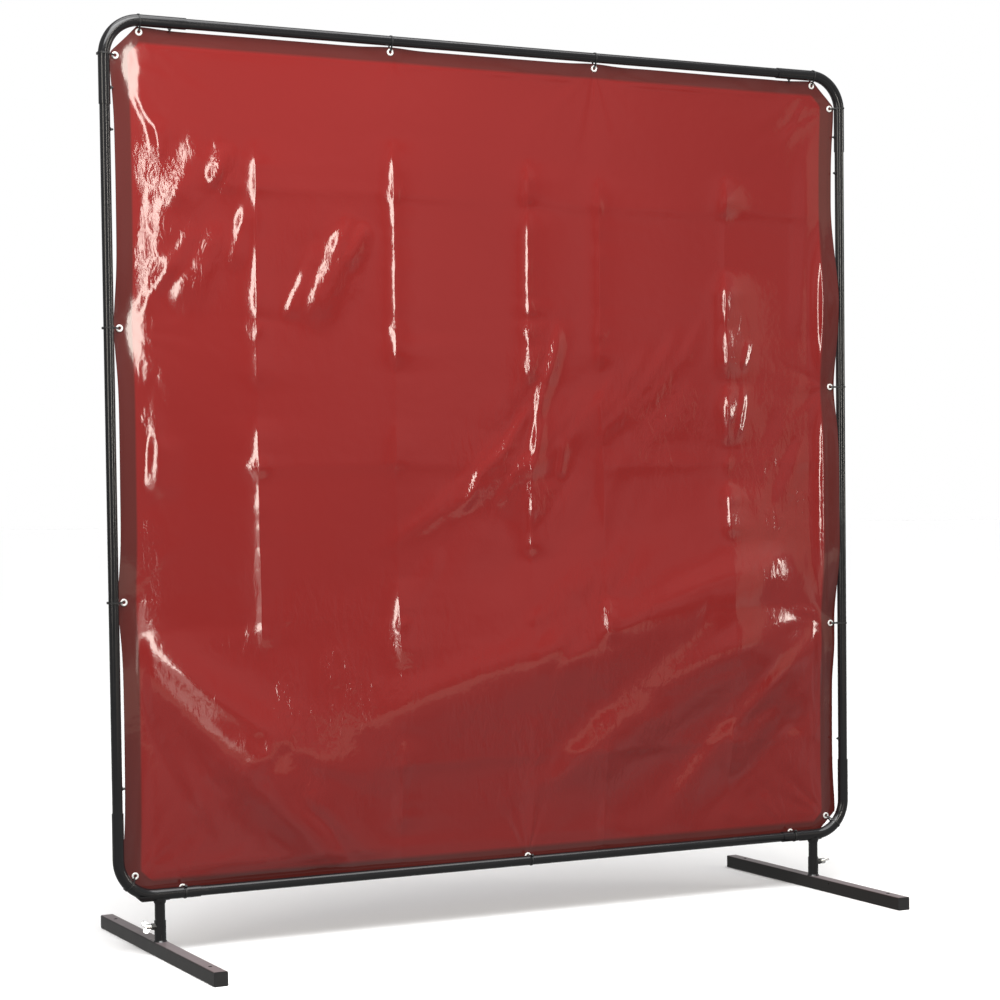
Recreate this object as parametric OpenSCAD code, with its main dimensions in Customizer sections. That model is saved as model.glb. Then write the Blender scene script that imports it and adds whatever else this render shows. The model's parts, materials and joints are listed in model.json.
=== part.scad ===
// Welding curtain screen: round-tube frame on two feet, sheet tied in all round.
// Origin: floor level, midway between the posts, in the plane of the frame. +Z up, -Y faces the front.

/* [Frame] */
// Outer width over the two side tubes
frame_w = 1866; // [1500:1:2400]
// Outer height over the top and bottom tubes
frame_h = 1868; // [1500:1:2400]
// Floor to the underside of the bottom tube
frame_gap = 120; // [105:1:160]
// Outer diameter of the straight tubes and the legs
tube_d = 22; // [20:0.5:26]
// Wall of the straight tubes and the legs
tube_wall = 1.5; // [1:0.1:2.5]
// Wall of the corner pieces and the foot sockets
corner_wall = 1.4; // [1.2:0.1:2]
// Centre-line radius of the corner bends
bend_r = 80; // [70:1:90]
// Outer corner of the frame to the open end of a corner piece
corner_reach = 190; // [175:1:230]
// How far a straight tube goes into a corner piece
tube_insert = 70; // [40:1:75]

/* [Frame screws] */
// Diameter of the small frame screws
pin_d = 5; // [4:0.5:6]
// How far a frame screw stands out of the tube
pin_out = 7; // [5:0.5:9]
// Outer corner of the frame to a screw in a top corner piece
pin_in_corner = 155; // [140:1:165]
// Outer corner of the frame to a screw in a side tube
pin_in_tube = 242; // [240:1:280]

/* [Feet] */
// Length of a foot bar without its end caps
foot_l = 750; // [560:1:900]
// Width and height of a foot bar
foot_s = 30; // [30:1:36]
// Wall of a foot bar
foot_wall = 2; // [1.5:0.1:2.5]
// Outer corner radius of a foot bar
foot_round = 3; // [2.6:0.1:4]
// Outer side of the frame to the leg axis
leg_inset = 100; // [95:1:140]
// Height of the leg socket above the foot bar
socket_h = 45; // [36:1:50]
// Hole for a floor fixing
floor_hole_d = 9; // [7:0.5:11]
// End of the foot bar to the floor-fixing hole
floor_hole_inset = 62; // [30:1:120]
// Thickness of the end cap outside the bar
cap_t = 2; // [1.5:0.1:4]

/* [Wing screws] */
// Thread diameter
screw_d = 8; // [6:0.5:8]
// Rim of the socket down to the screw axis
screw_drop = 12; // [10:0.5:14]
// Clear length of screw between nut and wing hub
screw_free = 3.5; // [3:0.1:8]
// Tip to tip over the wings
wing_span = 32; // [28:1:36]
// Turn of the left wings from upright
wing_turn_left = 42; // [0:1:180]
// Turn of the right wings from upright
wing_turn_right = 65; // [0:1:180]

/* [Curtain] */
// Gap between a side tube and the sheet
side_gap = 5; // [4:0.5:12]
// Gap between the top tube and the sheet
top_gap = 3.5; // [3.5:0.5:8]
// How far the sheet hangs below the top of the bottom tube
bottom_drop = 12.5; // [12:0.5:16]
// Thickness of the sheet solid
sheet_t = 1.2; // [1:0.1:1.6]
// Thickness of the hem solid
hem_t = 2; // [1.8:0.1:2.4]
// Width of the hem
hem_w = 38; // [30:1:60]
// Bend centre outward to the start of the cut across each top corner of the sheet
cut_start = 8; // [6:1:14]

/* [Eyelets and ties] */
// Hole through an eyelet
eye_d = 8; // [7:0.5:9]
// Outer diameter of an eyelet
eye_od = 15; // [14:0.5:16]
// Sheet edge to the middle of an eyelet
eye_inset = 9.5; // [9:0.5:11]
// Upper eyelet of the left side, as a part of the frame height
left_eye_high = 0.649; // [0.55:0.001:0.75]
// Lower eyelet of the left side
left_eye_low = 0.340; // [0.25:0.001:0.45]
// Upper eyelet of the right side
right_eye_high = 0.592; // [0.55:0.001:0.75]
// Lower eyelet of the right side
right_eye_low = 0.282; // [0.25:0.001:0.45]
// Left eyelet of the top row, as a part of the frame width from the middle
top_eye_left = -0.144; // [-0.2:0.001:-0.1]
// Right eyelet of the top row
top_eye_right = 0.131; // [0.1:0.001:0.2]
// Middle eyelet of the bottom row
bottom_eye_mid = 0.030; // [-0.1:0.001:0.1]
// Centre line of a bottom bend to the eyelet in that corner
low_eye_gap = 24.5; // [23:0.5:28]
// Bend centre to the outer eyelets of the bottom row
bottom_eye_in = 65; // [60:1:100]
// Width of a cable tie strap
tie_w = 3.6; // [2.5:0.1:4.8]
// Thickness of a cable tie strap
tie_t = 1.2; // [1:0.1:1.4]
// Room between a strap and the face of its eyelet
tie_slack = 1.3; // [1.3:0.1:2]

/* [Fits] */
// Radial clearance where round parts slide or turn
fit = 0.05; // [0.02:0.01:0.1]
// Gap left between parts that must not touch
air = 0.3; // [0.3:0.05:0.6]

/* [Hidden] */
$fn = 64;

tube_r = tube_d / 2;
corner_r = tube_r + fit + corner_wall;
axis_x = frame_w / 2 - tube_r;
low_z = frame_gap + tube_r;
high_z = frame_gap + frame_h - tube_r;
bend_x = axis_x - bend_r;
bend_low = low_z + bend_r;
bend_high = high_z - bend_r;
arm_l = corner_reach - tube_r - bend_r;
side_tube_l = frame_h - 2 * (corner_reach - tube_insert);
cross_tube_l = frame_w - 2 * (corner_reach - tube_insert);

pin_r = pin_d / 2;
pin_collar_r = pin_r + 1.5;
pin_collar_t = 1.5;
pin_inside = tube_wall + 2;

leg_x = frame_w / 2 - leg_inset;
socket_top = foot_s + socket_h;
bead_h = 5;
bead_w = 2.6;
base_bead_h = 3;

saddle_wall = 1.2;
saddle_in = corner_r + fit;
saddle_out = saddle_in + saddle_wall;
saddle_left = 39;
saddle_right = 20;
leg_top = low_z - saddle_out - fit;

screw_r = screw_d / 2;
screw_z = socket_top - screw_drop;
nut_af = 1.625 * screw_d;
nut_face = corner_r + 6.5;
hub_r = screw_r + 2.5;
hub_l = 10;
hub_x = nut_face + screw_free;
stud_grip = 8;
lobe_r = 6.5;
lobe_t = 2.6;

eye_wall = 0.6;
eye_flange = 0.8;
sheet_w = frame_w - 2 * tube_d - 2 * side_gap;
sheet_top = frame_gap + frame_h - tube_d - top_gap;
sheet_bottom = frame_gap + tube_d - bottom_drop;
sheet_front = pin_r + hem_t / 2 + air;
sheet_back = saddle_out + hem_t / 2 + eye_flange + air;
lean = atan((sheet_back - sheet_front) / (sheet_top - sheet_bottom));
sheet_h = (sheet_top - sheet_bottom) / cos(lean);

eye_r = eye_d / 2;
eye_x = sheet_w / 2 - eye_inset;
eye_top = sheet_top - eye_inset;
eye_bottom = sheet_bottom + eye_inset;
// Pair of eyelets at each top corner, a little past where the cut starts
top_cut = sheet_w / 2 - bend_x - cut_start;
pair_out = 4;
pair_x = sheet_w / 2 - eye_inset - top_cut + pair_out;
pair_z = sheet_top - eye_inset - top_cut + pair_out;
// Single eyelet inside each bottom corner; the sheet is cut square to the line from the bend centre
low_eye_out = bend_r - low_eye_gap;
low_eye_x = bend_x + low_eye_out / sqrt(2);
low_eye_z = bend_low - low_eye_out / sqrt(2);
bottom_cut = sheet_w / 2 - sheet_bottom - (low_eye_x - low_eye_z) - eye_inset * sqrt(2);
bottom_eye_x = bend_x - bottom_eye_in;

strap_side = sqrt(eye_r * eye_r - tie_w * tie_w / 4) - fit;
strap_half = hem_t / 2 + eye_flange + tie_slack;
head_s = 5;
head_turn = 125;
strap_dip = 0.15;
cap_plug = 14;
cap_wall = 2;
foot_round_in = foot_round - foot_wall + 0.5;

function sheet_y(z) = sheet_front + (sheet_top - z) * tan(lean);
function unit(v) = v / norm(v);
// Point where a line from p touches a circle of radius r about the origin
function touch(p, r, side) =
    let (a = atan2(p[1], p[0]) + side * acos(r / norm(p)))
    [r * cos(a), r * sin(a)];

module tube(r, wall, l) {
    difference() {
        cylinder(r = r, h = l, center = true);
        cylinder(r = r - wall, h = l + 1, center = true);
    }
}

// Hole for a frame screw, from the tube axis outward along +X
module pin_hole(r) {
    rotate([0, 90, 0]) cylinder(r = pin_r + fit, h = r + 1);
}

// Frame screw through the wall of a tube of radius r, standing out along +X
module pin(r) {
    rotate([0, 90, 0]) {
        translate([0, 0, r - pin_inside]) cylinder(r = pin_r, h = pin_inside + pin_out - pin_r);
        translate([0, 0, r + fit]) cylinder(r = pin_collar_r, h = pin_collar_t);
        intersection() {
            translate([0, 0, r + pin_out - pin_r]) sphere(r = pin_r);
            translate([0, 0, r + pin_out - pin_r]) cylinder(r = pin_r, h = pin_r);
        }
    }
}

// Side tube, screws facing +X
module side_tube() {
    difference() {
        translate([0, 0, frame_gap + frame_h / 2]) tube(tube_r, tube_wall, side_tube_l);
        for (z = [frame_gap + pin_in_tube, frame_gap + frame_h - pin_in_tube])
            translate([0, 0, z]) pin_hole(tube_r);
    }
}

module cross_tube(z, with_holes) {
    difference() {
        translate([0, 0, z]) rotate([0, 90, 0]) tube(tube_r, tube_wall, cross_tube_l);
        if (with_holes)
            for (s = [-1, 1])
                translate([s * (frame_w / 2 - pin_in_corner), 0, z]) rotate([0, 90, 0]) pin_hole(tube_r);
    }
}

// Bend and two arms of radius r, bend centre at the origin, arms toward -X and -Z
module elbow_bar(r, extra) {
    rotate([90, 0, 0]) rotate_extrude(angle = 90) translate([bend_r, 0]) circle(r = r);
    translate([-arm_l - extra, 0, bend_r]) rotate([0, 90, 0]) cylinder(r = r, h = arm_l + extra);
    translate([bend_r, 0, -arm_l - extra]) cylinder(r = r, h = arm_l + extra);
}

// Corner piece for the top right; its arms carry screws on the inner side
module corner(with_holes) {
    difference() {
        elbow_bar(corner_r, 0);
        elbow_bar(tube_r + fit, 1);
        if (with_holes) {
            translate([frame_w / 2 - pin_in_corner - bend_x, 0, bend_r])
                rotate([0, 90, 0]) pin_hole(corner_r);
            translate([bend_r, 0, frame_h / 2 - pin_in_corner - (bend_high - frame_gap - frame_h / 2)])
                rotate([0, 180, 0]) pin_hole(corner_r);
        }
    }
}

module top_corner(side) {
    color("#26272a") mirror([side < 0 ? 1 : 0, 0, 0]) translate([bend_x, 0, bend_high]) corner(true);
}

module bottom_corner(side) {
    color("#26272a") mirror([side < 0 ? 1 : 0, 0, 0]) translate([bend_x, 0, bend_low])
        mirror([0, 0, 1]) corner(false);
}

module top_tube() {
    color("#26272a") cross_tube(high_z, true);
}

module bottom_tube() {
    color("#26272a") cross_tube(low_z, false);
}

module left_tube() {
    color("#26272a") translate([-axis_x, 0, 0]) difference() {
        side_tube();
        translate([0, 0, frame_gap + frame_h - pin_in_corner]) pin_hole(tube_r);
    }
}

module right_tube() {
    color("#26272a") mirror([1, 0, 0]) translate([-axis_x, 0, 0]) difference() {
        side_tube();
        translate([0, 0, frame_gap + frame_h - pin_in_corner]) pin_hole(tube_r);
    }
}

module corner_screws() {
    color("#3a3b3e") for (s = [0, 1]) mirror([s, 0, 0]) {
        translate([-axis_x, 0, frame_gap + frame_h - pin_in_corner]) pin(corner_r);
        translate([-frame_w / 2 + pin_in_corner, 0, high_z]) rotate([0, 90, 0]) pin(corner_r);
    }
}

module tube_screws() {
    color("#3a3b3e") for (s = [0, 1], z = [pin_in_tube, frame_h - pin_in_tube])
        mirror([s, 0, 0]) translate([-axis_x, 0, frame_gap + z]) pin(tube_r);
}

// Half-round saddle under the corner piece with a weld bead round the leg top
module saddle() {
    l = saddle_left + saddle_right;
    big = 2 * saddle_out + 10;
    difference() {
        union() {
            translate([-saddle_left - saddle_out, 0, low_z]) rotate([0, 90, 0])
                cylinder(r = saddle_out, h = l + saddle_out);
            translate([0, 0, leg_top - bead_h]) cylinder(r1 = tube_r + 1, r2 = tube_r + bead_w, h = bead_h);
            translate([0, 0, leg_top]) cylinder(r = tube_r + bead_w, h = saddle_out / 2);
        }
        translate([-saddle_left - 2 * saddle_out, 0, low_z]) rotate([0, 90, 0])
            cylinder(r = saddle_in, h = l + 3 * saddle_out);
        translate([-saddle_left - 2 * saddle_out, -big / 2, low_z])
            cube([l + 3 * saddle_out, big, saddle_out + 5]);
        // left end cut away at 45 degrees, rising outward
        translate([-saddle_left, 0, low_z - saddle_out]) rotate([0, -45, 0])
            translate([-big, -big / 2, -big]) cube([big, big, 2 * big]);
        translate([0, 0, leg_top - bead_h - 1]) cylinder(r = tube_r + fit, h = bead_h + 1 + fit);
    }
}

module saddle_left() {
    color("#26272a") translate([-leg_x, 0, 0]) saddle();
}

module saddle_right() {
    color("#26272a") translate([leg_x, 0, 0]) saddle();
}

// Outline of the sheet with its corners cut, drawn in by d on every side
module sheet_outline(d) {
    x = sheet_w / 2 - d;
    top = -d;
    low = d - sheet_h;
    a = top_cut - d * (2 - sqrt(2));
    b = bottom_cut - d * (2 - sqrt(2));
    polygon([[-x + a, top], [x - a, top], [x, top - a], [x, low + b],
        [x - b, low], [-x + b, low], [-x, low + b], [-x, top - a]]);
}

module on_sheet() {
    translate([0, sheet_front, sheet_top]) rotate([lean, 0, 0]) children();
}

// Places its child at an eyelet given by world x and z
module at_eye(x, z) {
    on_sheet() translate([x, 0, (z - sheet_top) / cos(lean)]) rotate([90, 0, 0]) children();
}

module at_all_eyes() {
    for (s = [-1, 1]) {
        at_eye(s * pair_x, eye_top) children();
        at_eye(s * eye_x, pair_z) children();
        at_eye(s * low_eye_x, low_eye_z) children();
        at_eye(s * bottom_eye_x, eye_bottom) children();
    }
    at_eye(top_eye_left * frame_w, eye_top) children();
    at_eye(top_eye_right * frame_w, eye_top) children();
    at_eye(bottom_eye_mid * frame_w, eye_bottom) children();
    at_eye(-eye_x, frame_gap + left_eye_high * frame_h) children();
    at_eye(-eye_x, frame_gap + left_eye_low * frame_h) children();
    at_eye(eye_x, frame_gap + right_eye_high * frame_h) children();
    at_eye(eye_x, frame_gap + right_eye_low * frame_h) children();
}

module curtain() {
    color("#a83432") difference() {
        on_sheet() rotate([90, 0, 0]) {
            linear_extrude(height = sheet_t, center = true) sheet_outline(hem_w / 2);
            linear_extrude(height = hem_t, center = true) difference() {
                sheet_outline(0);
                sheet_outline(hem_w);
            }
        }
        at_all_eyes() cylinder(r = eye_r + eye_wall, h = 2 * hem_t, center = true);
    }
}

module eyelet() {
    difference() {
        union() {
            cylinder(r = eye_r + eye_wall, h = hem_t + 2 * eye_flange, center = true);
            for (s = [-1, 1])
                translate([0, 0, s * (hem_t + eye_flange) / 2])
                    cylinder(d = eye_od, h = eye_flange, center = true);
        }
        cylinder(r = eye_r, h = 2 * hem_t + 2 * eye_flange, center = true);
    }
}

module eyelets() {
    color("#e8e8e4") at_all_eyes() eyelet();
}

// Area inside a strap pulled round a tube of radius r and the line a to b.
// The straight sides dip a little inside the circle so that they cross it cleanly.
module strap_area(r, a, b) {
    circle(r = r);
    polygon([[0, 0], touch(a, r - strap_dip, -1), a, b, touch(b, r - strap_dip, 1)]);
}

// Strap in the XY plane round a tube at the origin; +X points to the sheet, +Y to the back
module strap(r, a, b) {
    ra = r + 2 * fit;
    difference() {
        union() {
            linear_extrude(height = tie_w, center = true)
                strap_area(ra + tie_t, a + [tie_t, -tie_t / 2], b + [tie_t, tie_t / 2]);
            rotate([0, 0, head_turn]) translate([ra + tie_t / 2 + head_s / 2, 0, 0])
                cube(head_s, center = true);
        }
        linear_extrude(height = 2 * head_s, center = true) strap_area(ra, a, b);
    }
}

// Tie to an eyelet that lies u away from the tube axis and y behind it
module tie(r, u, y) {
    strap(r, [u - strap_side, y - strap_half], [u - strap_side, y + strap_half]);
}

module side_tie(s, z) {
    mirror([s < 0 ? 0 : 1, 0, 0]) translate([-axis_x, 0, z]) tie(tube_r, axis_x - eye_x, sheet_y(z));
}

module ties_sides() {
    color("#1b1b1c") {
        side_tie(-1, frame_gap + left_eye_high * frame_h);
        side_tie(-1, frame_gap + left_eye_low * frame_h);
        side_tie(1, frame_gap + right_eye_high * frame_h);
        side_tie(1, frame_gap + right_eye_low * frame_h);
    }
}

module top_tie(x, r) {
    translate([x, 0, high_z]) rotate([0, 90, 0]) tie(r, high_z - eye_top, sheet_y(eye_top));
}

module ties_top() {
    color("#1b1b1c") {
        top_tie(top_eye_left * frame_w, tube_r);
        top_tie(top_eye_right * frame_w, tube_r);
    }
}

// Tie that holds the low edge of the sheet behind the bottom tube
module bottom_tie(x, r) {
    back = sheet_y(eye_bottom) + strap_half;
    through = eye_bottom - low_z - strap_side;
    under = sheet_bottom - low_z - air;
    translate([x, 0, low_z]) rotate([0, -90, 0]) rotate([0, 0, 90]) mirror([0, 1, 0])
        strap(r, [back, under], [back, through]);
}

module ties_bottom() {
    color("#1b1b1c") {
        bottom_tie(bottom_eye_mid * frame_w, tube_r);
        for (s = [-1, 1]) bottom_tie(s * bottom_eye_x, corner_r);
    }
}

// Tie at a bend: p is the eyelet as seen from the bend centre, in X and Z
module corner_tie(p, y) {
    d = unit(p);
    translate([d[0] * bend_r, 0, d[1] * bend_r]) rotate([0, -atan2(d[1], d[0]), 0]) rotate([0, 0, 180])
        rotate([180, 0, 0]) tie(corner_r, bend_r - norm(p), y);
}

module ties_corners() {
    color("#1b1b1c") for (s = [0, 1]) mirror([s, 0, 0]) {
        translate([bend_x, 0, bend_high]) {
            corner_tie([pair_x - bend_x, eye_top - bend_high], sheet_y(eye_top));
            corner_tie([eye_x - bend_x, pair_z - bend_high], sheet_y(pair_z));
        }
        translate([bend_x, 0, bend_low])
            corner_tie([low_eye_x - bend_x, low_eye_z - bend_low], sheet_y(low_eye_z));
    }
}

// Everything on a foot is drawn for the left foot, screw toward -X, and turned for the right
module foot_side(s) {
    translate([s * leg_x, 0, 0]) rotate([0, 0, s > 0 ? 180 : 0]) children();
}

module leg() {
    translate([0, 0, (foot_s + fit + leg_top) / 2]) tube(tube_r, tube_wall, leg_top - foot_s - fit);
}

module leg_left() {
    color("#26272a") foot_side(-1) leg();
}

module leg_right() {
    color("#26272a") foot_side(1) leg();
}

// Square with rounded corners, side s and corner radius r
module round_square(s, r) {
    square([s, s - 2 * r], center = true);
    square([s - 2 * r, s], center = true);
    for (x = [-1, 1], y = [-1, 1]) translate([x * (s / 2 - r), y * (s / 2 - r)]) circle(r = r);
}

module foot_bar() {
    difference() {
        translate([0, 0, foot_s / 2]) rotate([90, 0, 0]) linear_extrude(height = foot_l, center = true)
            difference() {
                round_square(foot_s, foot_round);
                round_square(foot_s - 2 * foot_wall, foot_round_in);
            }
        for (s = [-1, 1]) translate([0, s * (foot_l / 2 - floor_hole_inset), -1])
            cylinder(d = floor_hole_d, h = foot_s + 2);
    }
}

module foot_bar_left() {
    color("#3b3734") foot_side(-1) foot_bar();
}

module foot_bar_right() {
    color("#3b3734") foot_side(1) foot_bar();
}

module socket() {
    difference() {
        union() {
            translate([0, 0, foot_s]) cylinder(r = corner_r, h = socket_h);
            translate([0, 0, foot_s]) cylinder(r1 = foot_s / 2 - 0.5, r2 = corner_r, h = base_bead_h);
        }
        translate([0, 0, foot_s - 1]) cylinder(r = tube_r + fit, h = socket_h + 2);
        translate([0, 0, screw_z]) rotate([0, -90, 0]) cylinder(r = screw_r + fit, h = 2 * corner_r);
    }
}

module socket_left() {
    color("#26272a") foot_side(-1) socket();
}

module socket_right() {
    color("#26272a") foot_side(1) socket();
}

module nut() {
    difference() {
        translate([0, 0, screw_z]) rotate([0, -90, 0]) rotate([0, 0, 30])
            cylinder(d = nut_af / cos(30), h = nut_face, $fn = 6);
        cylinder(r = corner_r, h = 2 * socket_top);
        translate([0, 0, screw_z]) rotate([0, -90, 0]) cylinder(r = screw_r + fit, h = nut_face + 1);
    }
}

module nut_left() {
    color("#2e2d2b") foot_side(-1) nut();
}

module nut_right() {
    color("#2e2d2b") foot_side(1) nut();
}

module end_cap() {
    inner = foot_s - 2 * foot_wall - 2 * fit;
    rotate([90, 0, 0]) {
        translate([0, 0, foot_l / 2 + cap_t / 2]) linear_extrude(height = cap_t, center = true)
            round_square(foot_s, foot_round);
        translate([0, 0, foot_l / 2 - cap_plug / 2]) linear_extrude(height = cap_plug, center = true)
            difference() {
                round_square(inner, foot_round_in);
                square(inner - 2 * cap_wall, center = true);
            }
    }
}

module end_caps() {
    for (a = [0, 180]) translate([0, 0, foot_s / 2]) rotate([0, 0, a]) end_cap();
}

module end_caps_left() {
    color("#232324") foot_side(-1) end_caps();
}

module end_caps_right() {
    color("#232324") foot_side(1) end_caps();
}

// Threaded rod of the wing screw
module stud() {
    translate([-tube_r - air, 0, screw_z]) rotate([0, -90, 0])
        cylinder(r = screw_r, h = hub_x + stud_grip - tube_r - air);
}

module stud_left() {
    color("#c9c9c6") foot_side(-1) stud();
}

module stud_right() {
    color("#c9c9c6") foot_side(1) stud();
}

// Hub with two wings, drawn along +Z with the wings along X
module wings() {
    difference() {
        union() {
            cylinder(r = hub_r, h = hub_l);
            rotate([90, 0, 0]) linear_extrude(height = lobe_t, center = true) for (s = [-1, 1]) {
                translate([s * (wing_span / 2 - lobe_r), hub_l + 1]) circle(r = lobe_r);
                polygon([[0, 1], [s * (hub_r + 1), 1], [s * (wing_span / 2 - 0.6), hub_l - 1.5],
                    [s * (wing_span / 2 - 2 * lobe_r + 0.4), hub_l + 3], [0, hub_l - 1]]);
            }
        }
        translate([0, 0, -1]) cylinder(r = screw_r + fit, h = stud_grip + fit + 1);
    }
}

module wings_at(turn) {
    translate([-hub_x, 0, screw_z]) rotate([0, -90, 0]) rotate([0, 0, turn]) wings();
}

module wings_left() {
    color("#d4d4d0") foot_side(-1) wings_at(wing_turn_left);
}

module wings_right() {
    color("#d4d4d0") foot_side(1) wings_at(wing_turn_right);
}

module corner_top_left() {
    top_corner(-1);
}

module corner_top_right() {
    top_corner(1);
}

module corner_bottom_left() {
    bottom_corner(-1);
}

module corner_bottom_right() {
    bottom_corner(1);
}

top_tube();
bottom_tube();
left_tube();
right_tube();
corner_top_left();
corner_top_right();
corner_bottom_left();
corner_bottom_right();
corner_screws();
tube_screws();
saddle_left();
saddle_right();
curtain();
eyelets();
ties_top();
ties_sides();
ties_bottom();
ties_corners();
leg_left();
leg_right();
foot_bar_left();
foot_bar_right();
socket_left();
socket_right();
nut_left();
nut_right();
end_caps_left();
end_caps_right();
stud_left();
stud_right();
wings_left();
wings_right();
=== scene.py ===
import json
import math

import bpy
import numpy as np
from mathutils import Matrix, Vector


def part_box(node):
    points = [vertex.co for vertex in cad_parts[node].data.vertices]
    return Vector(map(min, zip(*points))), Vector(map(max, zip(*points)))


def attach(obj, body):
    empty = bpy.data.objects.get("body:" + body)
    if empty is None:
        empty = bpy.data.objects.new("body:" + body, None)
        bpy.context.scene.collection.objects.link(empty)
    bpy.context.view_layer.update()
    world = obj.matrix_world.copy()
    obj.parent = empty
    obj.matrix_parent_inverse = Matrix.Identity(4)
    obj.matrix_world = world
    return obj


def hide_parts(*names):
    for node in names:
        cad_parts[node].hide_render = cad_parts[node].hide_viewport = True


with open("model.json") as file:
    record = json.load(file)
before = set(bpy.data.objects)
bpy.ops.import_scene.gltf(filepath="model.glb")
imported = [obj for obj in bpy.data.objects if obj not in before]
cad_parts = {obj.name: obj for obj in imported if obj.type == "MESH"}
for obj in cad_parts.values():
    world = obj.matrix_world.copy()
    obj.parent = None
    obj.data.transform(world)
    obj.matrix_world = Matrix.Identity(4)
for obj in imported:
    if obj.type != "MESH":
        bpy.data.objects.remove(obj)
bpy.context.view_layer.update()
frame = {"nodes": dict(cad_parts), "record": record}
scene = bpy.context.scene


# ---------------------------------------------------------------- helpers
def smooth(t):
    """0 below 0, 1 above 1, with an S-shaped rise between."""
    t = np.clip(t, 0.0, 1.0)
    return t * t * (3 - 2 * t)


def noise(a, b, seed, cell=1.0):
    """Smooth value noise from -1 to 1 at points a, b, with lattice spacing cell."""
    a, b = np.asarray(a) / cell + 500.0, np.asarray(b) / cell + 500.0
    ia, ib = np.floor(a).astype(np.int64), np.floor(b).astype(np.int64)
    fa, fb = smooth(a - ia), smooth(b - ib)

    def value(i, j):
        h = (i * 374761393 + j * 668265263 + seed * 1442695041) & 0xFFFFFFFF
        h = ((h ^ (h >> 13)) * 1274126177) & 0xFFFFFFFF
        return ((h ^ (h >> 16)) & 0xFFFF) / 32767.5 - 1.0

    low = value(ia, ib) * (1 - fa) + value(ia + 1, ib) * fa
    high = value(ia, ib + 1) * (1 - fa) + value(ia + 1, ib + 1) * fa
    return low * (1 - fb) + high * fb


def mesh_object(name, points, faces):
    """Smooth-shaded mesh in the scene."""
    mesh = bpy.data.meshes.new(name)
    mesh.from_pydata([tuple(p) for p in points], [], faces)
    mesh.update()
    mesh.polygons.foreach_set("use_smooth", [True] * len(mesh.polygons))
    obj = bpy.data.objects.new(name, mesh)
    scene.collection.objects.link(obj)
    return obj


# ---------------------------------------------------------------- camera and stage
def camera():
    """Camera in front and to the left; focal length and shifts are shares of the picture's width."""
    focal, shift_x, shift_y = 2.4246, -0.06477, 0.08354
    data = bpy.data.cameras.new("camera")
    obj = bpy.data.objects.new("camera", data)
    scene.collection.objects.link(obj)
    yaw, pitch, roll = math.radians(27.893), math.radians(-2.359), math.radians(-0.611)
    ahead = Vector((math.sin(yaw) * math.cos(pitch), math.cos(yaw) * math.cos(pitch), math.sin(pitch)))
    level = Vector((math.cos(yaw), -math.sin(yaw), 0))
    above = level.cross(ahead)
    across = math.cos(roll) * level + math.sin(roll) * above
    up = -math.sin(roll) * level + math.cos(roll) * above
    pose = Matrix((across, up, -ahead)).transposed().to_4x4()
    pose.translation = Vector((-2.4665, -4.9468, 0.9962))
    obj.matrix_world = pose
    data.sensor_width = 36
    data.lens = focal * data.sensor_width
    data.shift_x, data.shift_y = shift_x, shift_y
    data.clip_start, data.clip_end = 0.05, 60
    scene.camera = obj


def area(name, place, target, width, height, power, colour=(1, 1, 1)):
    """Rectangular light at place that looks at target."""
    data = bpy.data.lights.new(name, "AREA")
    data.shape = "RECTANGLE"
    data.size, data.size_y = width, height
    data.energy = power
    data.color = colour
    obj = bpy.data.objects.new(name, data)
    scene.collection.objects.link(obj)
    obj.location = place
    obj.rotation_euler = (Vector(target) - Vector(place)).to_track_quat("-Z", "Y").to_euler()
    obj.visible_camera = False


def studio_world():
    """Even dim light; gloss sees a softly uneven room, darkest at eye level; the camera sees white."""
    world = bpy.data.worlds.new("studio")
    scene.world = world
    world.use_nodes = True
    nt = world.node_tree
    where = nt.nodes.new("ShaderNodeTexCoord")
    split = nt.nodes.new("ShaderNodeSeparateXYZ")
    nt.links.new(where.outputs["Generated"], split.inputs[0])

    def math_node(operation, first, second, third=0.0):
        node = nt.nodes.new("ShaderNodeMath")
        node.operation = operation
        for socket, value in zip(node.inputs, (first, second, third)):
            if isinstance(value, float):
                socket.default_value = value
            else:
                nt.links.new(value, socket)
        return node.outputs[0]

    away = math_node("MINIMUM", math_node("ABSOLUTE", split.outputs["Z"], 0.0), 0.13)
    band = math_node("MULTIPLY_ADD", away, 1.5, 0.20)
    uneven = nt.nodes.new("ShaderNodeTexNoise")
    uneven.inputs["Scale"].default_value = 7
    uneven.inputs["Detail"].default_value = 2
    nt.links.new(where.outputs["Generated"], uneven.inputs["Vector"])
    room = math_node("MULTIPLY_ADD", math_node("SUBTRACT", uneven.outputs["Fac"], 0.5), 0.7, band)
    path = nt.nodes.new("ShaderNodeLightPath")
    level = nt.nodes.new("ShaderNodeMix")
    level.inputs["A"].default_value = 0.09
    nt.links.new(path.outputs["Is Glossy Ray"], level.inputs["Factor"])
    nt.links.new(math_node("MAXIMUM", room, 0.08), level.inputs["B"])
    bg = nt.nodes["Background"]
    bg.inputs["Color"].default_value = (1, 1, 1, 1)
    nt.links.new(level.outputs["Result"], bg.inputs["Strength"])
    white = nt.nodes.new("ShaderNodeBackground")
    white.inputs["Color"].default_value = (1, 1, 1, 1)
    mix = nt.nodes.new("ShaderNodeMixShader")
    nt.links.new(path.outputs["Is Camera Ray"], mix.inputs["Fac"])
    nt.links.new(bg.outputs[0], mix.inputs[1])
    nt.links.new(white.outputs[0], mix.inputs[2])
    nt.links.new(mix.outputs[0], nt.nodes["World Output"].inputs["Surface"])


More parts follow.
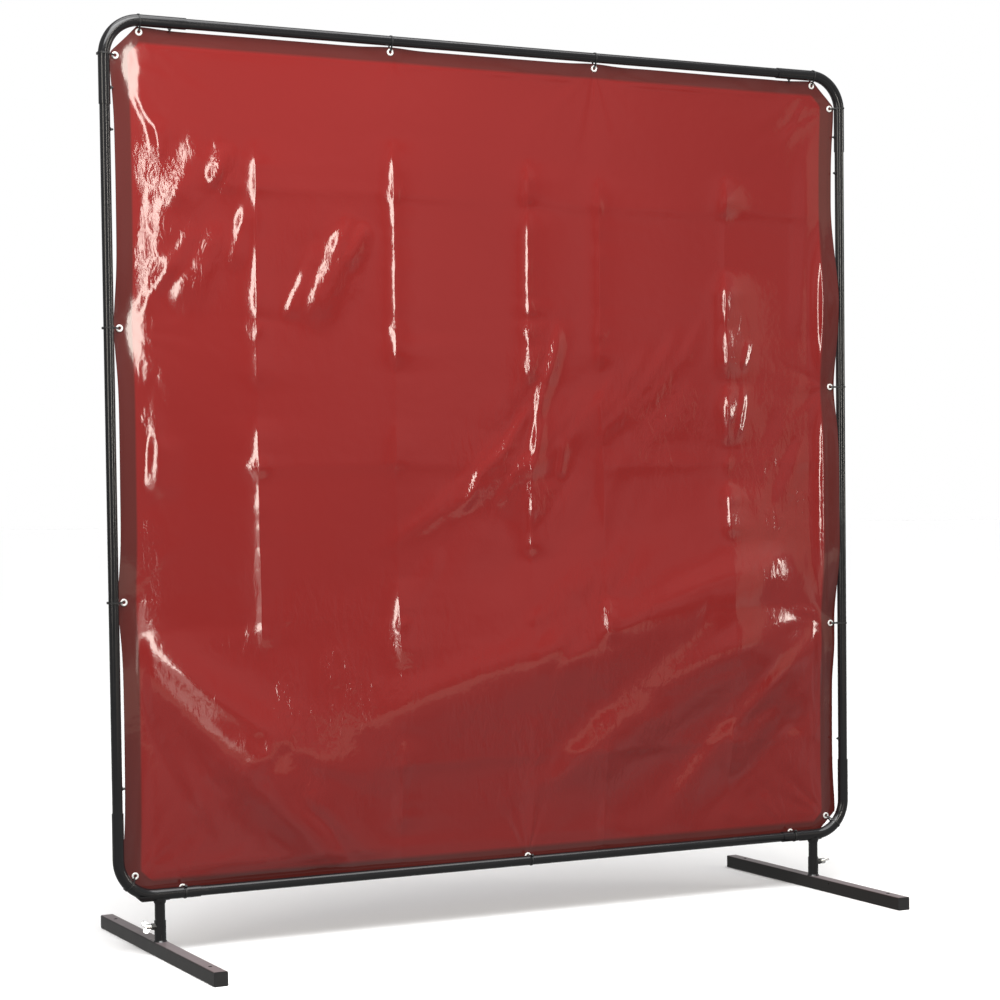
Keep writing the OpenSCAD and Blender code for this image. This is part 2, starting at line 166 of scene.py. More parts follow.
def stage():
    """White floor, the room and the lights."""
    size = 60
    corners = [(-size, -size, 0), (size, -size, 0), (size, size, 0), (-size, size, 0)]
    floor = mesh_object("floor", corners, [(0, 1, 2, 3)])
    floor.visible_glossy = False
    floor.visible_diffuse = False
    mat = bpy.data.materials.new("floor_mat")
    mat.use_nodes = True
    b = mat.node_tree.nodes["Principled BSDF"]
    b.inputs["Base Color"].default_value = (0.97, 0.97, 0.97, 1)
    b.inputs["Roughness"].default_value = 0.9
    b.inputs["Specular IOR Level"].default_value = 0.1
    floor.data.materials.append(mat)

    studio_world()
    warm = (1.0, 0.93, 0.84)
    area("key_mid", (-0.05, -3.8, 1.925), (-0.05, 0, 1.925), 0.35, 2.15, 37, warm)
    area("key_mid_low", (-0.05, -3.8, 0.575), (-0.05, 0, 0.575), 0.35, 0.55, 1.3, warm)
    area("key_right", (4.4, -2.4, 1.7), (0, 0, 1.0), 0.4, 1.9, 36, warm)
    area("dim_right", (3.5, -3.1, 1.3), (0.3, 0, 1.0), 1.0, 2.4, 3.2, (1.0, 0.82, 0.62))
    area("left_far", (-4.4, -2.2, 1.8), (0, 0, 1.2), 1.3, 2.4, 50, warm)
    area("low", (0.8, -3.9, 0.22), (0.3, 0, 0.6), 3.6, 0.4, 2.4, (1.0, 0.78, 0.6))
    area("top", (-1.2, -1.7, 3.4), (-0.5, 0, 1.0), 2.2, 1.6, 88)
    glow = bpy.data.lights.new("overhead", "SUN")
    glow.energy = 3.1
    glow.angle = math.radians(60)
    sun = bpy.data.objects.new("overhead", glow)
    scene.collection.objects.link(sun)
    sun.rotation_euler = (math.radians(12), 0, 0)


# ---------------------------------------------------------------- materials
def material(name, colour, rough, metal=0.0, gloss=0.5):
    """New material with its node tree and its shader."""
    mat = bpy.data.materials.new(name)
    mat.use_nodes = True
    b = mat.node_tree.nodes["Principled BSDF"]
    b.inputs["Base Color"].default_value = (*colour, 1)
    b.inputs["Roughness"].default_value = rough
    b.inputs["Metallic"].default_value = metal
    b.inputs["Specular IOR Level"].default_value = gloss
    return mat, mat.node_tree, b


def varied(name, colour, second, rough, spread, scale, metal=0.0, gloss=0.5, bump=0.0, bump_scale=900.0):
    """Colour and roughness that wander over the surface, with a fine bump."""
    mat, nt, b = material(name, colour, rough, metal, gloss)
    where = nt.nodes.new("ShaderNodeTexCoord")
    tex = nt.nodes.new("ShaderNodeTexNoise")
    tex.inputs["Scale"].default_value = scale
    tex.inputs["Detail"].default_value = 5
    nt.links.new(where.outputs["Object"], tex.inputs["Vector"])
    mix = nt.nodes.new("ShaderNodeMix")
    mix.data_type = "RGBA"
    mix.inputs["A"].default_value = (*colour, 1)
    mix.inputs["B"].default_value = (*second, 1)
    nt.links.new(tex.outputs["Fac"], mix.inputs["Factor"])
    nt.links.new(mix.outputs["Result"], b.inputs["Base Color"])
    span = nt.nodes.new("ShaderNodeMapRange")
    span.inputs["To Min"].default_value = rough - spread
    span.inputs["To Max"].default_value = rough + spread
    nt.links.new(tex.outputs["Fac"], span.inputs["Value"])
    nt.links.new(span.outputs["Result"], b.inputs["Roughness"])
    if bump:
        fine = nt.nodes.new("ShaderNodeTexNoise")
        fine.inputs["Scale"].default_value = bump_scale
        fine.inputs["Detail"].default_value = 2
        nt.links.new(where.outputs["Object"], fine.inputs["Vector"])
        bn = nt.nodes.new("ShaderNodeBump")
        bn.inputs["Strength"].default_value = bump
        bn.inputs["Distance"].default_value = 0.0004
        nt.links.new(fine.outputs["Fac"], bn.inputs["Height"])
        nt.links.new(bn.outputs["Normal"], b.inputs["Normal"])
    return mat


def sheet_material(name, light, dark, hem=True):
    """Glossy vinyl, darker in the doubled hem and crinkled where the mesh says it is crushed."""
    mat, nt, b = material(name, light, 0.09)
    b.inputs["Specular IOR Level"].default_value = 0.55
    b.inputs["IOR"].default_value = 1.53
    where = nt.nodes.new("ShaderNodeTexCoord")
    tex = nt.nodes.new("ShaderNodeTexNoise")
    tex.inputs["Scale"].default_value = 2.2
    tex.inputs["Detail"].default_value = 3
    nt.links.new(where.outputs["Object"], tex.inputs["Vector"])
    mix = nt.nodes.new("ShaderNodeMix")
    mix.data_type = "RGBA"
    mix.inputs["A"].default_value = (*light, 1)
    mix.inputs["B"].default_value = (*dark, 1)
    nt.links.new(tex.outputs["Fac"], mix.inputs["Factor"])
    colour = mix.outputs["Result"]
    if hem:
        band = nt.nodes.new("ShaderNodeAttribute")
        band.attribute_name = "hem"
        double = nt.nodes.new("ShaderNodeMix")
        double.data_type = "RGBA"
        double.inputs["B"].default_value = (0.115, 0.018, 0.015, 1)
        nt.links.new(band.outputs["Fac"], double.inputs["Factor"])
        nt.links.new(colour, double.inputs["A"])
        colour = double.outputs["Result"]
    nt.links.new(colour, b.inputs["Base Color"])
    fine = nt.nodes.new("ShaderNodeTexNoise")
    fine.inputs["Scale"].default_value = 38
    fine.inputs["Detail"].default_value = 3
    nt.links.new(where.outputs["Object"], fine.inputs["Vector"])
    bn = nt.nodes.new("ShaderNodeBump")
    bn.inputs["Strength"].default_value = 0.25
    bn.inputs["Distance"].default_value = 0.0012
    nt.links.new(fine.outputs["Fac"], bn.inputs["Height"])
    # crinkles where the sheet has been crushed, stronger with the mesh's own "crushed" value
    crushed = nt.nodes.new("ShaderNodeAttribute")
    crushed.attribute_name = "crushed"
    lean = nt.nodes.new("ShaderNodeMapping")
    lean.inputs["Rotation"].default_value = (0, math.radians(28), 0)
    lean.inputs["Scale"].default_value = (1, 1, 0.42)
    nt.links.new(where.outputs["Object"], lean.inputs["Vector"])
    cells = nt.nodes.new("ShaderNodeTexNoise")
    cells.inputs["Scale"].default_value = 52
    cells.inputs["Detail"].default_value = 4
    cells.inputs["Distortion"].default_value = 0.6
    nt.links.new(lean.outputs["Vector"], cells.inputs["Vector"])
    raised = nt.nodes.new("ShaderNodeMath")
    raised.operation = "MULTIPLY"
    nt.links.new(cells.outputs["Fac"], raised.inputs[0])
    nt.links.new(crushed.outputs["Fac"], raised.inputs[1])
    crinkle = nt.nodes.new("ShaderNodeBump")
    crinkle.inputs["Strength"].default_value = 0.7
    crinkle.inputs["Distance"].default_value = 0.0030
    nt.links.new(raised.outputs["Value"], crinkle.inputs["Height"])
    nt.links.new(bn.outputs["Normal"], crinkle.inputs["Normal"])
    nt.links.new(crinkle.outputs["Normal"], b.inputs["Normal"])
    span = nt.nodes.new("ShaderNodeMapRange")
    span.inputs["To Min"].default_value = 0.05
    span.inputs["To Max"].default_value = 0.12
    nt.links.new(tex.outputs["Fac"], span.inputs["Value"])
    nt.links.new(span.outputs["Result"], b.inputs["Roughness"])
    return mat


def painted_top_reflection(mat, reflection_colour):
    """Painted reflection: a lighter, pinkish colour on the faces of a material that look up."""
    nodes, links = mat.node_tree.nodes, mat.node_tree.links
    shader = next(n for n in nodes if n.type == "BSDF_PRINCIPLED")
    paint = shader.inputs["Base Color"].links[0].from_socket
    facing = nodes.new("ShaderNodeNewGeometry")
    parts = nodes.new("ShaderNodeSeparateXYZ")
    up = nodes.new("ShaderNodeMapRange")
    up.inputs["From Min"].default_value = 0.7
    mix = nodes.new("ShaderNodeMix")
    mix.data_type = "RGBA"
    links.new(facing.outputs["Normal"], parts.inputs[0])
    links.new(parts.outputs["Z"], up.inputs["Value"])
    links.new(up.outputs["Result"], mix.inputs["Factor"])
    links.new(paint, mix.inputs["A"])
    mix.inputs["B"].default_value = (*reflection_colour, 1)
    links.new(mix.outputs["Result"], shader.inputs["Base Color"])


def paint_cad():
    """A material for every CAD piece, by its slot."""
    black = varied("gloss_black", (0.006, 0.006, 0.007), (0.011, 0.011, 0.012), 0.17, 0.05, 14, gloss=0.5,
                   bump=0.08, bump_scale=420)
    legs = varied("gloss_black_legs", (0.007, 0.007, 0.008), (0.012, 0.011, 0.011), 0.2, 0.05, 22, gloss=0.45,
                  bump=0.08, bump_scale=420)
    screw = varied("screw_black", (0.016, 0.016, 0.017), (0.03, 0.03, 0.031), 0.38, 0.06, 90)
    foot = varied("foot_black", (0.016, 0.014, 0.013), (0.026, 0.023, 0.021), 0.3, 0.07, 30, gloss=0.25,
                  bump=0.1, bump_scale=300)
    # painted reflection: the foot's upward faces are lightened towards a pale pinkish grey
    painted_top_reflection(foot, (0.16, 0.13, 0.135))
    nut = varied("nut_black", (0.018, 0.017, 0.016), (0.04, 0.037, 0.034), 0.4, 0.08, 160, bump=0.15)
    cap = varied("cap_black", (0.016, 0.016, 0.017), (0.022, 0.022, 0.023), 0.45, 0.05, 60, bump=0.2,
                 bump_scale=1500)
    zinc = varied("zinc", (0.66, 0.66, 0.64), (0.82, 0.82, 0.79), 0.26, 0.07, 120, metal=1.0, bump=0.1)
    tie = varied("tie_black", (0.01, 0.01, 0.011), (0.016, 0.016, 0.017), 0.42, 0.05, 200, bump=0.1,
                 bump_scale=2500)
    by_slot = {"black_paint": black, "black_paint_legs": legs, "screw_black": screw, "foot_steel": foot,
               "nut_steel": nut, "cap_plastic": cap, "zinc": zinc, "tie": tie}
    for part in frame["record"]["subparts"]:
        mat = by_slot.get(part["material_slot"])
        if mat is None:
            continue
        node = frame["nodes"][part["node"]]
        node.data.materials.clear()
        node.data.materials.append(mat)


# ---------------------------------------------------------------- curtain
def eyelet_centres():
    """Middle of each eyelet of the CAD model, from its loose parts."""
    mesh = frame["nodes"]["eyelets"].data
    co = np.array([v.co for v in mesh.vertices])
    parent = np.arange(len(co))

    def root(i):
        while parent[i] != i:
            parent[i] = parent[parent[i]]
            i = parent[i]
        return i

    key = {}
    for i, p in enumerate(np.round(co, 5)):
        k = tuple(p)
        if k in key:
            parent[root(i)] = root(key[k])
        else:
            key[k] = i
    for e in mesh.edges:
        parent[root(e.vertices[0])] = root(e.vertices[1])
    groups = {}
    for i in range(len(co)):
        groups.setdefault(root(i), []).append(i)
    return np.array([(co[g].min(0) + co[g].max(0)) / 2 for g in groups.values()])


eyes = eyelet_centres()
sheet_low, sheet_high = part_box("curtain")
half_w = (sheet_high.x - sheet_low.x) / 2
z_top, z_low = sheet_high.z, sheet_low.z
slope, offset = np.polyfit(eyes[:, 2], eyes[:, 1], 1)
# Width of the hem, and how far the cuts run along the edges at the upper and lower corners
HEM = 0.036
TOP_CUT = 0.056
LOW_CUT = 0.053
# Mesh cells across and up the sheet, and how far the hem lies behind it
CELL_ACROSS = 0.0050
CELL_UP = 0.0080
HEM_LIFT = 0.0007

# Packing folds that run up the sheet: place across, then stretches still standing proud (low, high, firmness)
UPRIGHT = {
    -0.590: [(0.13, 0.35, 0.3), (0.38, 0.44, 0.7), (0.66, 1.13, 1.0), (1.22, 1.36, 0.9), (1.36, 1.72, 1.25)],
    -0.265: [(0.13, 0.20, 0.4), (0.23, 0.42, 0.9), (0.60, 0.77, 1.0), (1.05, 1.13, 0.6), (1.27, 1.74, 1.15)],
    0.068: [(0.13, 0.45, 0.25), (0.84, 1.05, 1.0), (1.24, 1.38, 1.0), (1.37, 1.61, 1.2), (1.64, 1.71, 0.8)],
    0.256: [(0.13, 0.37, 0.5), (0.64, 0.71, 1.0), (0.90, 1.20, 0.35), (1.27, 1.69, 0.55)],
    0.598: [(0.30, 0.42, 0.5), (0.87, 0.98, 1.1), (1.10, 1.21, 1.1), (1.26, 1.48, 1.1), (1.64, 1.70, 0.9)],
}
# Packing folds that run across it: height, firmness
LEVEL = {1.640: 0.9, 1.338: 0.5, 1.041: 1.0, 0.690: 1.0, 0.372: 1.5}


def plane_y(z):
    """Depth of the leaning plane in which the eyelets lie."""
    return offset + slope * z


def window(t, low, high, soft):
    """1 between low and high, falling softly to 0 outside."""
    return smooth((t - low) / soft + 0.5) * smooth((high - t) / soft + 0.5)


def fold(d, width, angle, round_off=0.0015):
    """Packing fold at d = 0, its side at d < 0 steep and at the given angle, the other side gentler."""
    sided = np.where(d > 0, d / 2.2, d)
    return math.tan(math.radians(angle)) * width * np.exp(-np.sqrt(sided**2 + round_off**2) / width)


def drag(x, z, a, b, width, angle, bow=0.0, ends=0.3):
    """Rounded fold from a down to b that stands forward, its left side steeper and at the given angle."""
    length = math.dist(a, b)
    ux, uz = (b[0] - a[0]) / length, (b[1] - a[1]) / length
    t = ((x - a[0]) * ux + (z - a[1]) * uz) / length
    across = (z - a[1]) * ux - (x - a[0]) * uz - bow * 4 * t * (1 - t)
    across = np.where(across > 0, across / 1.8, across)
    depth = math.tan(math.radians(angle)) * width * 1.17
    return -depth * smooth(t / ends) * smooth((1 - t) / ends) * np.exp(-((across / width) ** 2))


def crumple(x, z, centre, reach, angle, tilt, cell, seed):
    """Wrinkles along angle (degrees from +X) inside a soft oval, their sides tilted by about tilt."""
    c, s = math.cos(math.radians(angle)), math.sin(math.radians(angle))
    a = (x - centre[0]) * c + (z - centre[1]) * s
    b = (z - centre[1]) * c - (x - centre[0]) * s
    inside = np.exp(-((a / reach[0]) ** 2 + (b / reach[1]) ** 2) * 1.4)
    bend = b + 0.25 * cell * noise(a, b, seed + 2, 2.5 * cell)
    waves = noise(a * 0.35, bend, seed, cell)
    sharp = np.sqrt(noise(a * 0.5, bend, seed + 1, 1.4 * cell) ** 2 + 0.01)
    return math.tan(math.radians(tilt)) * cell * inside * (0.5 * waves - sharp)


def fan(x, z, tie, inward, tilt, count, reach, seed):
    """Folds that spread from a tie into the sheet; inward is their middle direction in degrees."""
    dx, dz = x - tie[0], z - tie[1]
    r = np.hypot(dx, dz) + 1e-6
    turn = np.degrees(np.arctan2(dz, dx)) - inward
    turn = (turn + 180) % 360 - 180
    fade = np.exp(-((turn / 50) ** 2)) * smooth(r / 0.03) * np.exp(-r / reach)
    return math.tan(math.radians(tilt)) * 0.05 * fade * noise(turn, r * 0, seed, 90 / count)


def relief(x, z):
    """How far the sheet stands out of its plane, in metres; minus is towards the front."""
    y = 0.0035 * noise(x, z, 3, 0.75) + 0.0013 * noise(x + 0.25 * z, z, 4, 0.3)
    y += packing_folds(x, z)
    for k, (ex, _, ez) in enumerate(eyes):
        inward = math.degrees(math.atan2(1.05 - ez, -ex * 1.1))
        tilt = 0.9 if ex < 0 else 1.8
        y += fan(x, z, (ex, ez), inward, tilt, 9, 0.12, 200 + k)
    return y + upper_left(x, z) + left_strip(x, z) + middle(x, z) + right(x, z) + swags(x, z)


def packing_folds(x, z):
    """Sharp folds left by packing, and the crushed spots where they cross."""
    zero = np.zeros_like(x)
    y = zero.copy()
    for i, (x0, stretches) in enumerate(UPRIGHT.items()):
        line = x0 + 0.003 * noise(zero, z, 20 + i, 0.25) + 0.0005 * noise(zero, z, 30 + i, 0.05)
        firm = 0.12 * window(z, z_low + 0.05, 1.72, 0.05)
        for low, high, amount in stretches:
            firm = np.maximum(firm, amount * window(z, low, high, 0.07))
        firm = firm * (0.92 + 0.14 * noise(zero, z, 50 + i, 0.04) + 0.07 * noise(zero, z, 55 + i, 0.018))
        # farther right the sheet must turn more before it catches the lamp in front of it
        angle = 1.35 * (6.3 + 12.3 * (x0 + 0.59))
        y -= firm * (fold(x - line, 0.016, angle) + fold(x - line, 0.06, 1.0, 0.01))
        for j, z0 in enumerate(LEVEL):
            y += crumple(x, z, (x0, z0), (0.030, 0.022), 20 + 37 * (i + j), 2.2, 0.024, 80 + 5 * i + j)
    for i, (z0, firm) in enumerate(LEVEL.items()):
        line = z0 + 0.006 * noise(x, zero, 60 + i, 0.35) + 0.0015 * noise(x, zero, 65 + i, 0.05)
        firm = firm * np.clip(0.6 + 0.9 * noise(x, zero, 70 + i, 0.2), 0.1, 1.4)
        y += (1 if i % 2 else -1) * firm * fold(z - line, 0.014, 4.5)
    return y


def upper_left(x, z):
    """Bunched wrinkles at the upper left, dragged down towards the left post."""
    y = drag(x, z, (-0.790, 1.70), (-0.810, 1.40), 0.045, 4.8, 0.004)
    y += drag(x, z, (-0.870, 1.84), (-0.800, 1.70), 0.009, 7, 0.008)
    y += drag(x, z, (-0.815, 1.79), (-0.800, 1.64), 0.012, 6, 0.004)
    y += drag(x, z, (-0.700, 1.74), (-0.790, 1.58), 0.026, 6.0)
    y += drag(x, z, (-0.650, 1.74), (-0.690, 1.63), 0.018, 7.5)
    y += drag(x, z, (-0.655, 1.58), (-0.790, 1.37), 0.026, 6.5, 0.006)
    y += drag(x, z, (-0.720, 1.57), (-0.820, 1.40), 0.014, 6)
    y += drag(x, z, (-0.775, 1.51), (-0.855, 1.35), 0.014, 6)
    y += drag(x, z, (-0.605, 1.62), (-0.650, 1.45), 0.015, 8.5)
    y += drag(x, z, (-0.350, 1.60), (-0.480, 1.33), 0.028, 10.5, -0.006)
    y += drag(x, z, (-0.325, 1.58), (-0.385, 1.47), 0.012, 11)
    y += drag(x, z, (-0.465, 1.48), (-0.530, 1.35), 0.013, 10)
    y += crumple(x, z, (-0.78, 1.69), (0.10, 0.08), 68, 3.6, 0.030, 301)
    y += crumple(x, z, (-0.68, 1.67), (0.08, 0.05), 55, 4.0, 0.030, 303)
    y += crumple(x, z, (-0.73, 1.48), (0.13, 0.07), 57, 2.4, 0.030, 305)
    y += crumple(x, z, (-0.43, 1.47), (0.14, 0.07), 60, 4.5, 0.032, 307)
    return y


def left_strip(x, z):
    """Crumpled strip beside the left hem, and the corner above it."""
    y = drag(x, z, (-0.835, 1.28), (-0.840, 1.20), 0.006, 3.4)
    y += drag(x, z, (-0.810, 1.12), (-0.815, 0.96), 0.022, 4.2)
    y += crumple(x, z, (-0.83, 1.04), (0.14, 0.035), 86, 2.4, 0.030, 309)
    y += crumple(x, z, (-0.86, 1.86), (0.07, 0.05), -35, 1.8, 0.034, 311)
    return y


def middle(x, z):
    """Thin wrinkles about the middle folds and the long faint drags to the right of them."""
    y = drag(x, z, (0.150, 1.37), (0.105, 1.20), 0.011, 18, 0.004)
    y += drag(x, z, (0.110, 1.27), (0.078, 1.02), 0.012, 18, -0.003)
    y += drag(x, z, (0.075, 1.18), (-0.010, 1.06), 0.008, 13)
    y += drag(x, z, (0.030, 1.10), (-0.085, 1.00), 0.008, 13)
    y += drag(x, z, (-0.055, 1.04), (-0.105, 0.93), 0.008, 13)
    y += drag(x, z, (0.160, 1.10), (0.140, 1.00), 0.008, 12)
    for k in range(8):
        top = (0.56 - 0.075 * k, 1.42 - 0.040 * k)
        low = (top[0] - 0.26 - 0.015 * k, top[1] - 0.30)
        y += drag(x, z, top, low, 0.014 + 0.003 * (k % 3), 4.5 + 1.5 * (k % 2), 0.025)
    y += crumple(x, z, (0.08, 1.20), (0.20, 0.05), 60, 4.0, 0.030, 319)
    y += crumple(x, z, (0.02, 0.98), (0.28, 0.15), 54, 4.0, 0.050, 321)
    y += crumple(x, z, (0.36, 1.12), (0.22, 0.12), 60, 4.0, 0.045, 323)
    y += crumple(x, z, (0.20, 0.72), (0.26, 0.12), 48, 4.0, 0.050, 329)
    return y


def right(x, z):
    """Large soft facets and crumples of the right side."""
    y = drag(x, z, (0.835, 1.83), (0.805, 1.28), 0.030, 4.0, 0.006)
    y += drag(x, z, (0.664, 1.34), (0.640, 1.26), 0.005, 24)
    y += drag(x, z, (0.650, 1.23), (0.622, 1.09), 0.006, 24)
    y += crumple(x, z, (0.62, 1.28), (0.20, 0.05), 84, 3.0, 0.036, 325)
    y += crumple(x, z, (0.78, 1.02), (0.26, 0.10), 68, 3.8, 0.050, 327)
    y += crumple(x, z, (0.62, 0.78), (0.26, 0.10), 58, 3.0, 0.060, 331)
    y += crumple(x, z, (0.83, 0.70), (0.20, 0.08), 70, 1.2, 0.045, 333)
    return y


def swags(x, z):
    """Slack of the lower third: a belly that returns to the tied edge, and folds between the lower ties."""
    belly = 0.020 + 0.012 * smooth((x + 0.3) / 0.8)
    crest = 0.66 - 0.26 * smooth((0.5 - x) / 1.2)
    sag = -belly * np.exp(-(((z - crest) / 0.23) ** 2)) * smooth((half_w - np.abs(x)) / 0.3)
    y = sag + drag(x, z, (-0.92, 0.74), (-0.36, 0.13), 0.055, 9, -0.035)
    y += drag(x, z, (-0.90, 0.72), (-0.22, 0.30), 0.026, 6, -0.05)
    y += drag(x, z, (-0.90, 0.70), (-0.66, 0.20), 0.020, 5, -0.02)
    y += drag(x, z, (0.88, 0.66), (0.02, 0.20), 0.055, 10, -0.075)
    y += drag(x, z, (0.93, 0.66), (0.38, 0.16), 0.030, 12, -0.03)
    y += drag(x, z, (0.88, 0.80), (0.05, 0.50), 0.045, 6.5, -0.07)
    y += drag(x, z, (0.30, 0.62), (-0.45, 0.40), 0.050, 6, -0.05)
    y += crumple(x, z, (0.45, 0.45), (0.40, 0.10), 22, 6.0, 0.070, 341)
    y += crumple(x, z, (0.70, 0.40), (0.24, 0.12), 40, 6.0, 0.055, 343)
    y += crumple(x, z, (-0.60, 0.42), (0.12, 0.08), 40, 4.0, 0.040, 345)
    y += crumple(x, z, (-0.45, 0.28), (0.24, 0.09), -40, 5.0, 0.055, 347)
    return y


def eyelets():
    """Rolled rings, one on each face of the sheet at every tie, joined through it by a barrel."""
    hole, reach = 0.0036, 0.0078
    face, rise = 0.0011, 0.0012
    middle_r, roll_r = (hole + reach) / 2, (reach - hole) / 2
    lean = math.atan(slope)
    steps, turns = 40, 10
    profile = []
    for k in range(turns + 1):
        a = math.pi * k / turns
        profile.append((middle_r + roll_r * math.cos(a), -face - rise * math.sin(a)))
    for k in range(turns + 1):
        a = math.pi * (1 - k / turns)
        profile.append((middle_r + roll_r * math.cos(a), face + rise * math.sin(a)))
    points, faces = [], []
    for centre in eyes:
        start = len(points)
        for i in range(steps):
            turn = 2 * math.pi * i / steps
            for r, y in profile:
                px, py, pz = r * math.cos(turn), y, r * math.sin(turn)
                points.append((centre[0] + px, centre[1] + py * math.cos(lean) + pz * math.sin(lean),
                               centre[2] + pz * math.cos(lean) - py * math.sin(lean)))
        n = len(profile)
        for i in range(steps):
            for j in range(n):
                a, b = start + i * n, start + (i + 1) % steps * n
                faces.append((a + j, b + j, b + (j + 1) % n, a + (j + 1) % n))
    obj = mesh_object("eyelet_rings", points, faces)
    obj.data.materials.append(varied("eyelet_white", (0.90, 0.91, 0.89), (0.97, 0.97, 0.95), 0.2, 0.05, 150,
                                     gloss=0.7, bump=0.05, bump_scale=700))
    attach(obj, "frame")
    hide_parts("eyelets")


def crushed(x, z):
    """From 0 to 1: how finely crinkled the sheet is at a point."""
    spots = [(-0.79, 1.69, 0.08, 0.08), (-0.68, 1.67, 0.07, 0.05), (-0.77, 1.47, 0.12, 0.10),
             (-0.44, 1.47, 0.10, 0.10), (-0.83, 1.02, 0.05, 0.22), (0.09, 1.25, 0.06, 0.12),
             (0.02, 1.02, 0.16, 0.12), (0.62, 1.30, 0.06, 0.12), (0.40, 1.15, 0.16, 0.14),
             (0.72, 0.95, 0.14, 0.25), (0.22, 0.72, 0.16, 0.10), (0.60, 0.35, 0.30, 0.14),
             (0.20, 0.45, 0.50, 0.20), (-0.45, 0.50, 0.30, 0.25)]
    amount = np.zeros_like(x)
    for cx, cz, rx, rz in spots:
        amount = np.maximum(amount, np.exp(-(((x - cx) / rx) ** 2) - ((z - cz) / rz) ** 2))
    for x0 in UPRIGHT:
        for z0 in LEVEL:
            amount = np.maximum(amount, 0.8 * np.exp(-(((x - x0) / 0.022) ** 2) - ((z - z0) / 0.022) ** 2))
    return amount * np.clip(0.6 + 0.9 * noise(x, z, 501, 0.06), 0, 1) * smooth((x + 0.885) / 0.04)


def edge_pull(along, ties, reach):
    """1 at a tie, falling to 0 away from every tie."""
    near = np.zeros_like(along)
    for t in ties:
        near = np.maximum(near, np.exp(-((along - t) / reach) ** 2))
    return near


def outline_half(z):
    """Half width of the sheet at height z, corners cut."""
    top = np.clip(TOP_CUT - (z_top - z), 0, TOP_CUT)
    low = np.clip(LOW_CUT - (z - z_low), 0, LOW_CUT)
    return half_w - top - low


def grid_lines(low, high, step, special, fine=(), fine_step=0.0018, fine_reach=0.015):
    """Positions from low to high, step apart, closer together round each of fine, that include special."""
    stops = sorted([low, high, *special, *[f + s * fine_reach for f in fine for s in (-1, 1)]])
    lines = []
    for a, b in zip(stops[:-1], stops[1:]):
        close = any(abs((a + b) / 2 - f) < fine_reach for f in fine)
        n = max(1, round((b - a) / (fine_step if close else step)))
        lines += [a + (b - a) * k / n for k in range(n)]
    return np.array(lines + [high])


def shape_sheet(u, z):
    """Points of the sheet for u across (-1 to 1) and z up."""
    x = u * outline_half(z)
    y = plane_y(z)
    # the tied edges hold the sheet flat
    free = smooth((half_w - 0.02 - np.abs(x)) / 0.05)
    free = free * smooth((z_top - z) / 0.06) * smooth((z - z_low) / 0.06)
    y = y + relief(x, z) * (0.08 + 0.92 * free)
    # side edges: drawn out at the ties, hollow between them
    for side in (-1, 1):
        ties = [e[2] for e in eyes if e[0] * side > half_w - 0.03]
        held = edge_pull(z, ties, 0.09)
        band = smooth(1 - (half_w - side * x) / 0.075)
        if side < 0:
            x = x + band * (0.0045 - 0.007 * held)
            y = y - band * (1 - held) * (0.0045 + 0.0012 * noise(z, z * 0, 401, 0.16))
        else:
            bulge = window(z, 0.62, 1.55, 0.25) * (1 - held)
            x = x + band * (0.006 * bulge - 0.003 * (1 - bulge) * (1 - held) + 0.0025 * held)
            y = y - band * (0.022 * bulge * (0.85 + 0.2 * noise(z, z * 0, 402, 0.12)) - 0.003 * (1 - held))
            rolled = half_w - 0.034 - side * x
            y = y - 0.0035 * bulge * np.exp(-((rolled / 0.006) ** 2))
    # top edge: curls back between the ties
    ties = [e[0] for e in eyes if e[2] > z_top - 0.03]
    held = edge_pull(x, ties, 0.05)
    band = smooth(1 - (z_top - z) / 0.05)
    curl = window(x, -0.84, -0.30, 0.10) + 0.35 * window(x, -0.25, 0.84, 0.1)
    y = y + band * (1 - held) * (0.0016 * curl + 0.0022 * noise(x, x * 0, 403, 0.10))
    z = z + band * (0.0015 * held - 0.002 * (1 - held))
    lip = np.exp(-(((z_top - z - HEM) / 0.006) ** 2)) * (1 - held)
    y = y - lip * (0.0011 + 0.0008 * noise(x, x * 0, 404, 0.07))
    return x, y, z


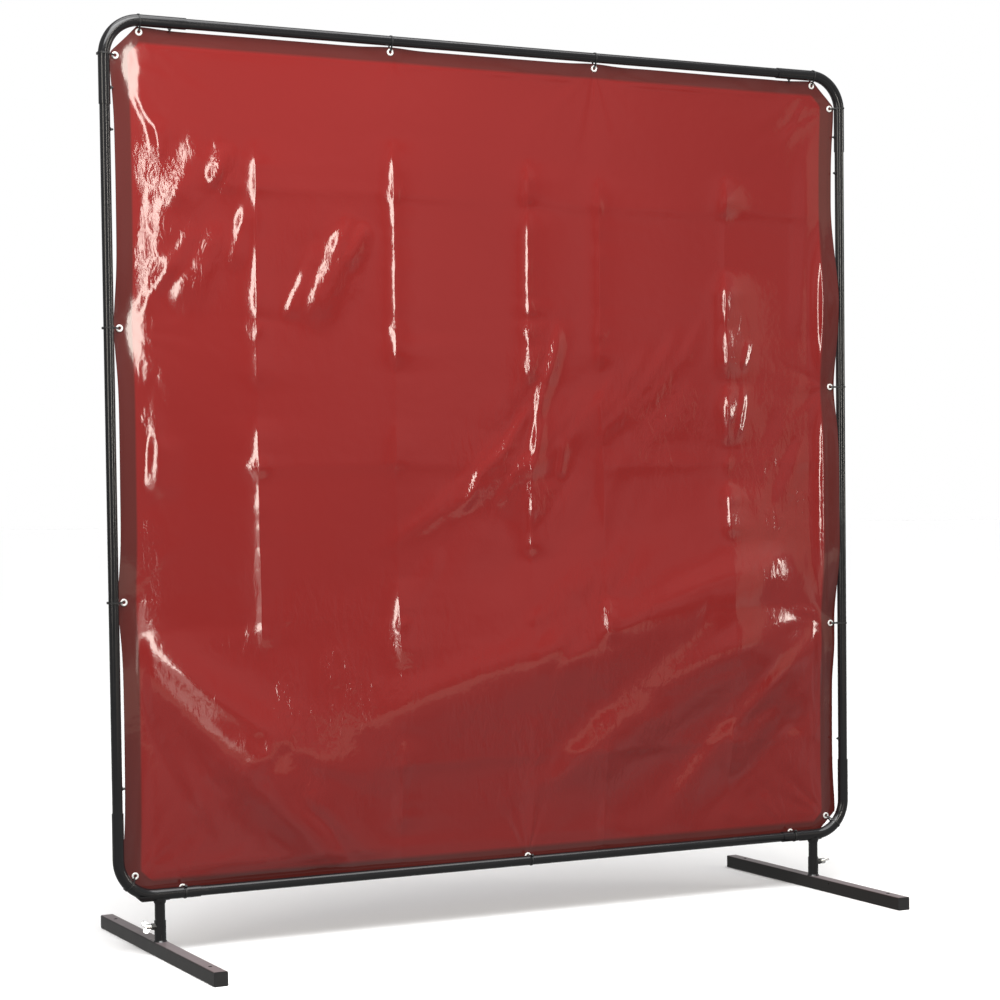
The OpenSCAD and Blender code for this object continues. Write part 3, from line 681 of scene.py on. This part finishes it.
def grid_mesh(name, us, zs, keep=None, lift=0.0):
    """Sheet mesh on the grid lines us, zs; keep picks cells by their middles."""
    u, z = np.meshgrid(us, zs)
    x, y, z2 = shape_sheet(u, z)
    rows, cols = u.shape
    pts = np.stack([x, y + lift, z2], -1).reshape(-1, 3)
    index = np.arange(rows * cols).reshape(rows, cols)
    quads = np.stack([index[:-1, :-1], index[1:, :-1], index[1:, 1:], index[:-1, 1:]], -1)
    if keep is not None:
        mid_u = (us[:-1] + us[1:]) / 2
        mid_z = (zs[:-1] + zs[1:]) / 2
        quads = quads[keep(*np.meshgrid(mid_u, mid_z))]
    quads = quads.reshape(-1, 4)
    used, flat = np.unique(quads, return_inverse=True)
    return mesh_object(name, pts[used], flat.reshape(-1, 4).tolist())


def in_hem(u, z):
    """Whether a point of the sheet lies in its doubled edge."""
    x = np.abs(u) * half_w
    return (x > half_w - HEM) | (z > z_top - HEM) | (z < z_low + HEM)


def curtain():
    """The sheet and the doubled band of its hem."""
    us = grid_lines(-half_w, half_w, CELL_ACROSS, [-half_w + HEM, half_w - HEM], UPRIGHT) / half_w
    zs = grid_lines(z_low, z_top, CELL_UP, [z_low + HEM, z_top - HEM])[::-1]
    main = grid_mesh("curtain_sheet", us, zs)
    uu, zz = np.meshgrid(us, zs)
    worn = main.data.attributes.new("crushed", "FLOAT", "POINT")
    worn.data.foreach_set("value", crushed(uu * half_w, zz).astype(np.float32).ravel())
    hem = main.data.attributes.new("hem", "FLOAT", "POINT")
    hem.data.foreach_set("value", in_hem(uu * 1.0005, zz).astype(np.float32).ravel())
    main.data.materials.append(sheet_material("red_vinyl", (0.27, 0.017, 0.015), (0.24, 0.014, 0.012)))
    band = grid_mesh("curtain_hem", us, zs, in_hem, HEM_LIFT)
    dark_vinyl = sheet_material("red_vinyl_hem", (0.115, 0.016, 0.014), (0.095, 0.014, 0.012), False)
    band.data.materials.append(dark_vinyl)
    for obj in (main, band):
        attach(obj, "frame")
    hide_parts("curtain")


camera()
stage()
paint_cad()
curtain()
eyelets()
scene.view_settings.view_transform = "Standard"
